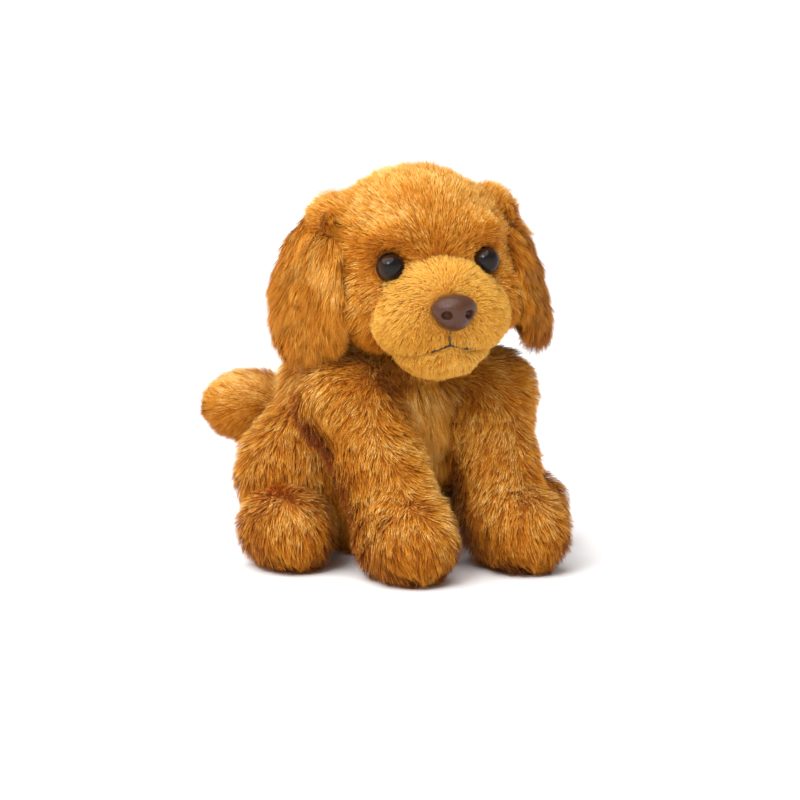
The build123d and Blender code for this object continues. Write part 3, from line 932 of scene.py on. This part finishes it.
BIB_MIDDLE, BIB_SIZE = off(SEAT, 0, -54, 81), (25, 16, 22)
BIB_UNDER, BIB_OVER = 2.0, 1.2    # the bib's patch reaches this far into and out of the chest
bib_form = form([egg(BIB_MIDDLE, BIB_SIZE)], cuts=[grown(torso, -BIB_UNDER)], keeps=[grown(torso, BIB_OVER)],
                cut_softness=0.5)
bib_cover = cover("bib_cover", bib_form, ["chest_bib"], "torso", MUZZLE_BACKING, voxel=1.0)


def bib_front(points, normals):
    return np.clip(-normals[:, 1] + 0.1, 0, 1) * (torso(points) > 0.4 * MM) + ALMOST_NONE


# tint_shift puts the bib's pile on paler tints than the coat: painted light on the chest, which lies in
# shade.
bib_fur = grow_fur("bib_fur", bib_cover, hairs(20000), 19.0, torso_flow, lean=54, bend=0.5, droop=0.4,
                   clump=0.55, strands_per_clump=26, seed=52, where=bib_front, tint_shift=0.30)
carried(bib_fur, "torso")

SEAT_PANEL_RADIUS, SEAT_TOP, SEAT_UNDER = 30, 2.2, 0.2
seat_form = form([egg(SEAT, (SEAT_PANEL_RADIUS,) * 3)],
                 keeps=[slab((0, 0, SEAT_TOP * MM), (0, 0, 1)), slab((0, 0, SEAT_UNDER * MM), (0, 0, -1))],
                 cut_softness=0.8)
cover("seat_cover", seat_form, ["seat_panel"], "torso", BACKING, voxel=0.9)

# ---- tail ----
tail_bend = ("torso", "tail", off(TAIL_ROOT, 4, -12, -3), off(TAIL_ROOT, -4, 12, 3))
tail_cover = cover("tail_cover", tail_form, ["tail_skin", "tail_stuffing"], "tail", BACKING,
                   blend=tail_bend)


def tail_flow(points, normals):
    """Along the tail, parted along its middle."""
    height = (points[:, 2] - tail_middle[2])[:, None]
    return tail_axes[1] + np.tanh(height / (6 * MM)) * np.array([0, 0, 0.5])


tail_fur = grow_fur("tail_fur", tail_cover, hairs(24000), 10.0, tail_flow, lean=56, bend=0.5, clump=0.5,
                    seed=61)
carried(tail_fur, "tail", blend=tail_bend)

# ---- what lies inside ----
# The fibre stuffings are stood for by the covers round them.
PELLETS = hidden_material("pellet_bag", (0.35, 0.33, 0.30), (0.70, 0.68, 0.62), 500)
WASHER = hidden_material("washer_plastic", (0.70, 0.70, 0.70), (0.82, 0.82, 0.82), 40)
inside = {"pellet_bag": PELLETS, "nose_washer": WASHER, "eye_left_washer": WASHER, "eye_right_washer": WASHER}
for node, material in inside.items():
    solid = frame["nodes"][node]
    solid.data.materials.clear()
    solid.data.materials.append(material)

# ---- floor ----
FLOOR_SIZE, FLOOR_WHITE = 12, 0.97
bpy.ops.mesh.primitive_plane_add(size=FLOOR_SIZE, location=(0, 0, 0))
floor = bpy.context.object
floor.name = "floor"
floor_material, floor_shader = principled("studio_floor", (FLOOR_WHITE,) * 3, 0.9)
floor_shader.inputs["Specular IOR Level"].default_value = 0.0
floor.data.materials.append(floor_material)

# ---- light ----
SKY_STRENGTH, SKY_DIM = 1.05, 0.25             # the white band, and the share of it left overhead
BAND_TOP, DIM_FROM = 0.22, 0.45                # heights where the white ends and where the dim begins
KEY_PLACE, KEY_POWER, KEY_SIZE = (-0.9, -0.8, 1.1), 6, 0.4
SUN_WAY, SUN_ENERGY, SUN_SPREAD = (0.45, 0.12, -1), 3.6, 75
LOOK_AT = (0, 0, 0.086)


def studio_world():
    """A white band behind everything, dimmer overhead, where the lamps do the work."""
    world = bpy.data.worlds.new("studio")
    world.use_nodes = True
    nodes, links = world.node_tree.nodes, world.node_tree.links
    place = nodes.new("ShaderNodeTexCoord")
    split = nodes.new("ShaderNodeSeparateXYZ")
    ramp = nodes.new("ShaderNodeValToRGB")
    ramp.color_ramp.elements[0].position, ramp.color_ramp.elements[0].color = BAND_TOP, (1, 1, 1, 1)
    ramp.color_ramp.elements[1].position = DIM_FROM
    ramp.color_ramp.elements[1].color = (SKY_DIM, SKY_DIM, SKY_DIM, 1)
    links.new(place.outputs["Generated"], split.inputs[0])
    links.new(split.outputs["Z"], ramp.inputs["Fac"])
    links.new(ramp.outputs["Color"], nodes["Background"].inputs["Color"])
    nodes["Background"].inputs["Strength"].default_value = SKY_STRENGTH
    return world


def place_light(data, way, place=(0, 0, 0)):
    """Puts a lamp on the stage, shining along a direction."""
    light = bpy.data.objects.new(data.name, data)
    bpy.context.collection.objects.link(light)
    light.location = place
    light.rotation_euler = way.to_track_quat("-Z", "Y").to_euler()


bpy.context.scene.world = studio_world()

key_data = bpy.data.lights.new("key", "AREA")
key_data.shape = "SQUARE"
key_data.size = KEY_SIZE
key_data.energy = KEY_POWER
place_light(key_data, Vector(LOOK_AT) - Vector(KEY_PLACE), KEY_PLACE)

sun_data = bpy.data.lights.new("overhead", "SUN")
sun_data.energy = SUN_ENERGY
sun_data.angle = math.radians(SUN_SPREAD)
place_light(sun_data, Vector(SUN_WAY))

# ---- camera ----
AZIMUTH, ELEVATION, DISTANCE = math.radians(-28), math.radians(7), 1.231
LENS, SENSOR, NEAREST = 100, 36, 0.05
camera_data = bpy.data.cameras.new("camera")
camera_data.lens = LENS
camera_data.sensor_width = SENSOR
camera_data.clip_start = NEAREST
camera = bpy.data.objects.new("camera", camera_data)
bpy.context.collection.objects.link(camera)
camera.location = Vector(LOOK_AT) + DISTANCE * Vector((math.sin(AZIMUTH) * math.cos(ELEVATION),
                                                       -math.cos(AZIMUTH) * math.cos(ELEVATION),
                                                       math.sin(ELEVATION)))
camera.rotation_euler = (Vector(LOOK_AT) - camera.location).to_track_quat("-Z", "Y").to_euler()
bpy.context.scene.camera = camera
bpy.context.scene.view_settings.view_transform = "Standard"
